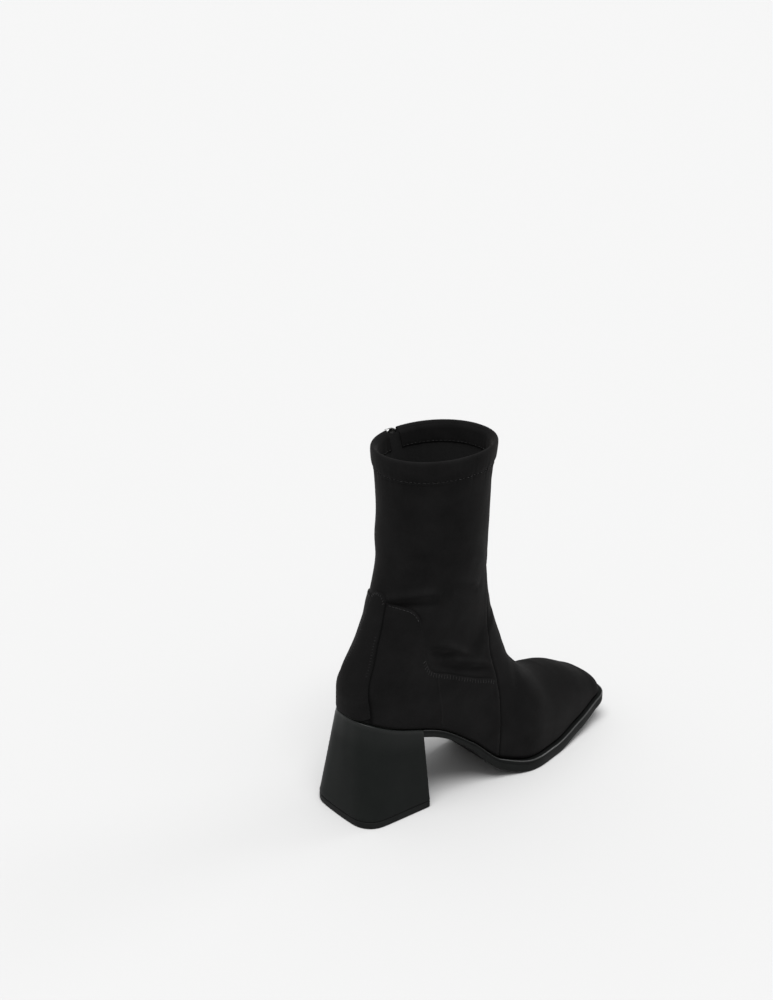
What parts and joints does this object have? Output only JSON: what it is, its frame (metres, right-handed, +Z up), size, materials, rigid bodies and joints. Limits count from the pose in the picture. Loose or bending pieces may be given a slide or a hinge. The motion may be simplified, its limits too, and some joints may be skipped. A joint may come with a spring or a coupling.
{
  "type": "heeled ankle boot",
  "caption": "Black suede sock-style ankle boot for the right foot, with a square toe, flared block heel, folded collar hem and an inner side zip with a hinged pull tab.",
  "frame": {"origin": "on the floor, under the middle of the boot's bounding box", "axes": "+X from the heel to the toe, +Y to the wearer's left, which is the inner side, and +Z up"},
  "size_m": [0.2444, 0.0866, 0.2539],
  "materials": {
    "suede": "matt black stretch suede, soft nap",
    "insole_leather": "smooth black lining leather",
    "sole_rubber": "satin black rubber",
    "heel_coat": "satin charcoal coating on a moulded block heel",
    "zip_cloth": "black woven tape",
    "zip_plastic": "black nylon coil",
    "zip_metal": "polished silver metal"
  },
  "bodies": {
    "boot": {"upper": "suede", "collar_band": "suede", "counter_lateral": "suede", "counter_medial": "suede", "backstay": "suede", "insole": "insole_leather", "midsole": "sole_rubber", "outsole": "sole_rubber", "heel_block": "heel_coat", "top_lift": "sole_rubber", "zip_tape": "zip_cloth", "zip_chain": "zip_plastic", "zip_slider": "zip_metal"},
    "pull": {"zip_pull": "zip_metal"}
  },
  "joints": [
    {"name": "pull_swing", "type": "hinge", "parent": "boot", "child": "pull", "pos_m": [-0.0453, 0.0409, 0.2474], "axis": [0.9957, 0.0925, 0], "range_deg": [-3, 160]}
  ]
}
